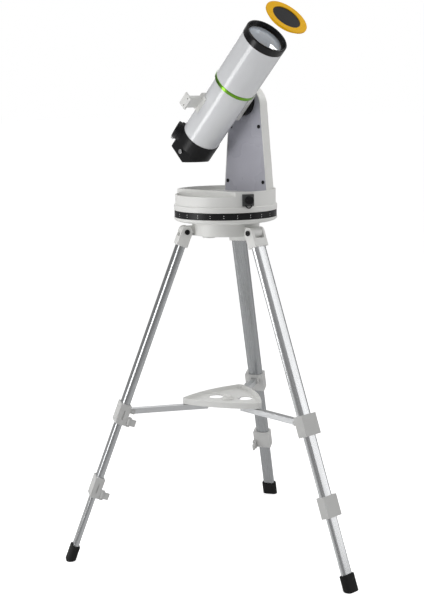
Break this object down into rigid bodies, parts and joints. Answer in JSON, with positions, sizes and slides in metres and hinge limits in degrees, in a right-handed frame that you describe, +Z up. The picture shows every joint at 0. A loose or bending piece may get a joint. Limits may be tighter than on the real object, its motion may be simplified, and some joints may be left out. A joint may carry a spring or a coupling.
{
  "type": "telescope on tripod",
  "caption": "Short refracting telescope on a motorised single-arm turntable mount, carried by an extending aluminium tripod with a spreader tray.",
  "frame": {"origin": "on the floor under the azimuth axis, midway between the feet", "axes": "+Z up; +X below the front of the tube and over one leg; +Y on the side of the arm"},
  "size_m": [0.5621, 0.646, 1.1727],
  "materials": {
    "white_lacquer": "glossy white lacquer",
    "white_plastic": "satin off-white moulding",
    "grey_plastic": "light grey moulding",
    "bright_aluminium": "brushed and clear anodised",
    "black_plastic": "satin black moulding",
    "black_metal": "semi-gloss black",
    "grey_panel": "satin lilac-grey lacquer",
    "black_rubber": "matt",
    "green_anodised": "green anodised",
    "lens_glass": "coated optical glass",
    "mirror_glass": "front silvered",
    "bright_steel": "bright plated",
    "dark_gear_case": "closed gear case",
    "switch_grey": "fine texture",
    "yellow_plastic": "smooth amber yellow",
    "filter_foil": "dark coated foil"
  },
  "bodies": {
    "stand": {"tripod_hub": "white_plastic", "leg_pivot_bolts": "black_plastic", "base_plate": "white_plastic", "azimuth_scale": "black_plastic"},
    "mount_bolt": {"mounting_knob": "black_plastic"},
    "tray": {"accessory_tray": "white_plastic"},
    "tray_lock": {"tray_knob": "grey_plastic"},
    "head": {"turntable": "white_plastic", "base_housing": "white_plastic", "socket_plate": "switch_grey", "arm_shell": "white_plastic", "arm_panel": "grey_panel", "panel_screws": "black_plastic", "drive_gearmotors": "dark_gear_case"},
    "power_switch": {"power_knob": "black_plastic"},
    "optical_tube": {"main_tube": "white_lacquer", "trim_ring": "green_anodised", "dew_shield": "white_lacquer", "front_ring": "black_metal", "objective_lens": "lens_glass", "rear_housing": "black_plastic", "diagonal_mirror": "mirror_glass", "eyepiece_socket": "black_plastic", "finder_shoe": "white_plastic", "tube_saddle": "white_plastic", "altitude_hub": "black_plastic"},
    "thumbscrew": {"socket_thumbscrew": "bright_steel"},
    "flip_knob": {"side_knob": "bright_steel"},
    "solar_filter": {"filter_ring": "yellow_plastic", "filter_film": "filter_foil"},
    "leg_1": {"leg_head_1": "white_plastic", "leg_upper_tube_1": "bright_aluminium", "upper_clamp_1": "grey_plastic"},
    "upper_lever_1": {"upper_clamp_lever_1": "grey_plastic"},
    "leg_middle_1": {"leg_middle_tube_1": "bright_aluminium", "lower_clamp_1": "grey_plastic"},
    "lower_lever_1": {"lower_clamp_lever_1": "grey_plastic"},
    "leg_lower_1": {"leg_lower_tube_1": "bright_aluminium", "rubber_foot_1": "black_rubber"},
    "arm_1": {"spreader_arm_1": "bright_aluminium"},
    "leg_2": {"leg_head_2": "white_plastic", "leg_upper_tube_2": "bright_aluminium", "upper_clamp_2": "grey_plastic"},
    "upper_lever_2": {"upper_clamp_lever_2": "grey_plastic"},
    "leg_middle_2": {"leg_middle_tube_2": "bright_aluminium", "lower_clamp_2": "grey_plastic"},
    "lower_lever_2": {"lower_clamp_lever_2": "grey_plastic"},
    "leg_lower_2": {"leg_lower_tube_2": "bright_aluminium", "rubber_foot_2": "black_rubber"},
    "arm_2": {"spreader_arm_2": "bright_aluminium"},
    "leg_3": {"leg_head_3": "white_plastic", "leg_upper_tube_3": "bright_aluminium", "upper_clamp_3": "grey_plastic"},
    "upper_lever_3": {"upper_clamp_lever_3": "grey_plastic"},
    "leg_middle_3": {"leg_middle_tube_3": "bright_aluminium", "lower_clamp_3": "grey_plastic"},
    "lower_lever_3": {"lower_clamp_lever_3": "grey_plastic"},
    "leg_lower_3": {"leg_lower_tube_3": "bright_aluminium", "rubber_foot_3": "black_rubber"},
    "arm_3": {"spreader_arm_3": "bright_aluminium"}
  },
  "joints": [
    {"name": "leg_1_fold", "type": "hinge", "parent": "stand", "child": "leg_1", "pos_m": [0.088, 0, 0.707], "axis": [0, 1, 0], "range_deg": [0, 13]},
    {"name": "arm_1_fold", "type": "hinge", "parent": "leg_1", "child": "arm_1", "pos_m": [0.21265, 0, 0.32325], "axis": [0, 1, 0], "range_deg": [0, 49.46]},
    {"name": "leg_1_middle_slide", "type": "slide", "parent": "leg_1", "child": "leg_middle_1", "axis": [0.3551, 0, -0.9348], "range_m": [-0.12, 0.09]},
    {"name": "leg_1_lower_slide", "type": "slide", "parent": "leg_middle_1", "child": "leg_lower_1", "axis": [0.3551, 0, -0.9348], "range_m": [-0.1, 0.09]},
    {"name": "upper_lever_1_turn", "type": "hinge", "parent": "leg_1", "child": "upper_lever_1", "pos_m": [0.22302, 0.0215, 0.3058], "axis": [-0.3551, 0, 0.9348], "range_deg": [-90, 0]},
    {"name": "lower_lever_1_turn", "type": "hinge", "parent": "leg_middle_1", "child": "lower_lever_1", "pos_m": [0.28498, 0.0198, 0.14748], "axis": [-0.3551, 0, 0.9348], "range_deg": [-90, 0]},
    {"name": "leg_2_fold", "type": "hinge", "parent": "stand", "child": "leg_2", "pos_m": [-0.044, 0.07621, 0.707], "axis": [-0.866, -0.5, 0], "range_deg": [0, 13]},
    {"name": "arm_2_fold", "type": "hinge", "parent": "leg_2", "child": "arm_2", "pos_m": [-0.10632, 0.18416, 0.32325], "axis": [-0.866, -0.5, 0], "range_deg": [0, 49.46]},
    {"name": "leg_2_middle_slide", "type": "slide", "parent": "leg_2", "child": "leg_middle_2", "axis": [-0.1776, 0.3075, -0.9348], "range_m": [-0.12, 0.09]},
    {"name": "leg_2_lower_slide", "type": "slide", "parent": "leg_middle_2", "child": "leg_lower_2", "axis": [-0.1776, 0.3075, -0.9348], "range_m": [-0.1, 0.09]},
    {"name": "upper_lever_2_turn", "type": "hinge", "parent": "leg_2", "child": "upper_lever_2", "pos_m": [-0.13013, 0.18239, 0.3058], "axis": [0.1776, -0.3075, 0.9348], "range_deg": [-90, 0]},
    {"name": "lower_lever_2_turn", "type": "hinge", "parent": "leg_middle_2", "child": "lower_lever_2", "pos_m": [-0.15964, 0.2369, 0.14748], "axis": [0.1776, -0.3075, 0.9348], "range_deg": [-90, 0]},
    {"name": "leg_3_fold", "type": "hinge", "parent": "stand", "child": "leg_3", "pos_m": [-0.044, -0.07621, 0.707], "axis": [0.866, -0.5, 0], "range_deg": [0, 13]},
    {"name": "arm_3_fold", "type": "hinge", "parent": "leg_3", "child": "arm_3", "pos_m": [-0.10632, -0.18416, 0.32325], "axis": [0.866, -0.5, 0], "range_deg": [0, 49.46]},
    {"name": "leg_3_middle_slide", "type": "slide", "parent": "leg_3", "child": "leg_middle_3", "axis": [-0.1776, -0.3075, -0.9348], "range_m": [-0.12, 0.09]},
    {"name": "leg_3_lower_slide", "type": "slide", "parent": "leg_middle_3", "child": "leg_lower_3", "axis": [-0.1776, -0.3075, -0.9348], "range_m": [-0.1, 0.09]},
    {"name": "upper_lever_3_turn", "type": "hinge", "parent": "leg_3", "child": "upper_lever_3", "pos_m": [-0.09289, -0.20389, 0.3058], "axis": [0.1776, 0.3075, 0.9348], "range_deg": [-90, 0]},
    {"name": "lower_lever_3_turn", "type": "hinge", "parent": "leg_middle_3", "child": "lower_lever_3", "pos_m": [-0.12534, -0.2567, 0.14748], "axis": [0.1776, 0.3075, 0.9348], "range_deg": [-90, 0]},
    {"name": "tray_rise", "type": "slide", "parent": "stand", "child": "tray", "axis": [0, 0, 1], "range_m": [0, 0.1526]},
    {"name": "tray_lock_turn", "type": "hinge", "parent": "tray", "child": "tray_lock", "pos_m": [0, 0, 0.335], "axis": [0, 0, 1], "continuous": true},
    {"name": "azimuth_turn", "type": "hinge", "parent": "stand", "child": "head", "pos_m": [0, 0, 0.764], "axis": [0, 0, 1], "continuous": true},
    {"name": "altitude_turn", "type": "hinge", "parent": "head", "child": "optical_tube", "pos_m": [0, 0, 0.978], "axis": [0, -1, 0], "range_deg": [-45, 45]},
    {"name": "mounting_knob_turn", "type": "hinge", "parent": "stand", "child": "mount_bolt", "pos_m": [0, 0, 0.7], "axis": [0, 0, 1], "continuous": true},
    {"name": "power_knob_turn", "type": "hinge", "parent": "head", "child": "power_switch", "pos_m": [0.10497, -0.03289, 0.7778], "axis": [0.9542, -0.299, 0], "range_deg": [0, 90]},
    {"name": "thumbscrew_turn", "type": "hinge", "parent": "optical_tube", "child": "thumbscrew", "pos_m": [-0.11201, -0.03413, 0.91959], "axis": [-0.7071, 0, -0.7071], "continuous": true},
    {"name": "flip_knob_turn", "type": "hinge", "parent": "optical_tube", "child": "flip_knob", "pos_m": [-0.10253, -0.035, 0.87264], "axis": [0, -1, 0], "range_deg": [0, 45]},
    {"name": "filter_seat", "type": "slide", "parent": "optical_tube", "child": "solar_filter", "axis": [-0.8608, 0, -0.509], "range_m": [0, 0.0603]}
  ],
  "couplings": [
    {"joint": "arm_1_fold", "follows": "leg_1_fold", "ratio": 3.7967},
    {"joint": "leg_2_fold", "follows": "leg_1_fold", "ratio": 1},
    {"joint": "arm_2_fold", "follows": "leg_1_fold", "ratio": 3.7967},
    {"joint": "leg_3_fold", "follows": "leg_1_fold", "ratio": 1},
    {"joint": "arm_3_fold", "follows": "leg_1_fold", "ratio": 3.7967},
    {"joint": "tray_rise", "follows": "leg_1_fold", "m_per_rad": 0.6704}
  ]
}
